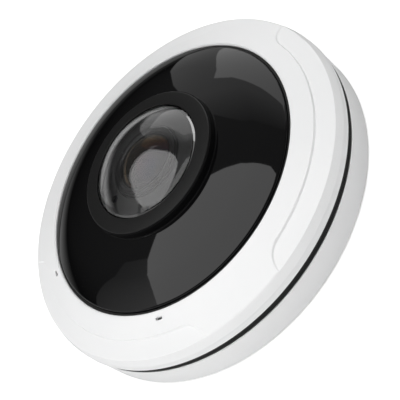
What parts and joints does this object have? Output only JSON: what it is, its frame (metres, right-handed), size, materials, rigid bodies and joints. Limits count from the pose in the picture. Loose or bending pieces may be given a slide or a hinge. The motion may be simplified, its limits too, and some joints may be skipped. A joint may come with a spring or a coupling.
{
  "type": "fisheye ip camera",
  "caption": "Low round surface-mount security camera with a fisheye lens under a clear bubble in a black dome window, on a bayonet mounting plate.",
  "frame": {"origin": "centre of the face that meets the wall or ceiling", "axes": "+Z out of the wall along the lens axis, +Y towards the top of the picture, +X to the right seen from the front"},
  "size_m": [0.1504, 0.1504, 0.0471],
  "materials": {
    "zinc_plated_steel": "zinc-plated sheet",
    "white_housing": "die casting with fine matt white powder coat",
    "white_cover": "die casting with fine matt white powder coat",
    "screw_steel": "bright stainless",
    "black_nylon": "moulded, matt",
    "black_rubber": "smooth silicone rubber",
    "black_window": "polished infrared-passing polycarbonate",
    "sensor_metal": "gold-plated can",
    "grey_trim": "dark grey satin paint",
    "clear_bubble": "optically clear, polished",
    "baffle_black": "fine matt moulding",
    "sensor_black": "smooth epoxy",
    "anodised_black": "black anodised, turned",
    "coated_glass": "polished with anti-reflection coating",
    "motor_can": "drawn steel can",
    "ivory_acetal": "moulded acetal",
    "filter_glass": "polished with infrared-cut coating",
    "clear_glass": "polished",
    "circuit_board": "green solder mask",
    "flat_cable": "polyimide film",
    "led_package": "clear encapsulated chip on ceramic",
    "led_lens": "moulded clear acrylic",
    "chip_black": "moulded epoxy",
    "thermal_pad": "soft silicone",
    "capacitor_can": "drawn can",
    "cell_steel": "drawn steel",
    "white_nylon": "moulded nylon",
    "slot_steel": "folded stainless sheet",
    "card_black": "moulded, plain",
    "red_acetal": "moulded acetal"
  },
  "bodies": {
    "mount": {"mounting_plate": "zinc_plated_steel"},
    "camera": {"rear_housing": "white_housing", "bayonet_studs": "screw_steel", "lock_screw": "screw_steel", "cable_gland": "black_nylon", "gland_nut": "black_nylon", "breather_vent": "black_nylon", "body_seal": "black_rubber", "front_cover": "white_cover", "cover_screws": "screw_steel", "window_seal": "black_rubber", "dome_window": "black_window", "window_clamp_ring": "zinc_plated_steel", "clamp_screws": "screw_steel", "mic_boots": "black_rubber", "microphones": "sensor_metal", "lens_trim_ring": "grey_trim", "bubble_seal": "black_rubber", "lens_bubble": "clear_bubble", "lens_baffle": "baffle_black", "light_sensor": "sensor_black", "lens_barrel": "anodised_black", "retaining_ring": "anodised_black", "front_element": "coated_glass", "second_element": "coated_glass", "rear_element": "coated_glass", "lens_holder": "baffle_black", "filter_motor": "motor_can", "image_sensor": "sensor_black", "sensor_board": "circuit_board", "sensor_board_screws": "screw_steel", "flat_cable": "flat_cable", "lens_bracket": "zinc_plated_steel", "bracket_screws": "screw_steel", "led_board": "circuit_board", "led_board_screws": "screw_steel", "ir_leds": "led_package", "led_lenses": "led_lens", "main_board": "circuit_board", "board_screws": "screw_steel", "processor": "chip_black", "thermal_pad": "thermal_pad", "memory_chips": "chip_black", "transformer": "chip_black", "capacitors": "capacitor_can", "backup_cell": "cell_steel", "network_socket": "white_nylon", "card_slot": "slot_steel", "reset_switch": "chip_black"},
    "filter_slide": {"filter_frame": "baffle_black", "ir_cut_filter": "filter_glass", "clear_filter": "clear_glass"},
    "filter_lever": {"filter_arm": "ivory_acetal"},
    "card": {"memory_card": "card_black"},
    "reset": {"reset_key": "red_acetal"}
  },
  "joints": [
    {"name": "camera_twist", "type": "hinge", "parent": "mount", "child": "camera", "pos_m": [0, 0, 0], "axis": [0, 0, 1], "range_deg": [0, 18]},
    {"name": "filter_shift", "type": "slide", "parent": "camera", "child": "filter_slide", "axis": [1, 0, 0], "range_m": [0, 0.00703]},
    {"name": "filter_arm_turn", "type": "hinge", "parent": "camera", "child": "filter_lever", "pos_m": [0, 0.0186, 0.0226], "axis": [0, 0, 1], "range_deg": [0, 46]},
    {"name": "card_push", "type": "slide", "parent": "camera", "child": "card", "axis": [1, 0, 0], "range_m": [0, 0.012]},
    {"name": "reset_press", "type": "slide", "parent": "camera", "child": "reset", "axis": [1, 0, 0], "range_m": [0, 0.0004], "stiffness_N_per_m": 500}
  ],
  "couplings": [
    {"joint": "filter_arm_turn", "follows": "filter_shift", "rad_per_m": 114.15}
  ]
}
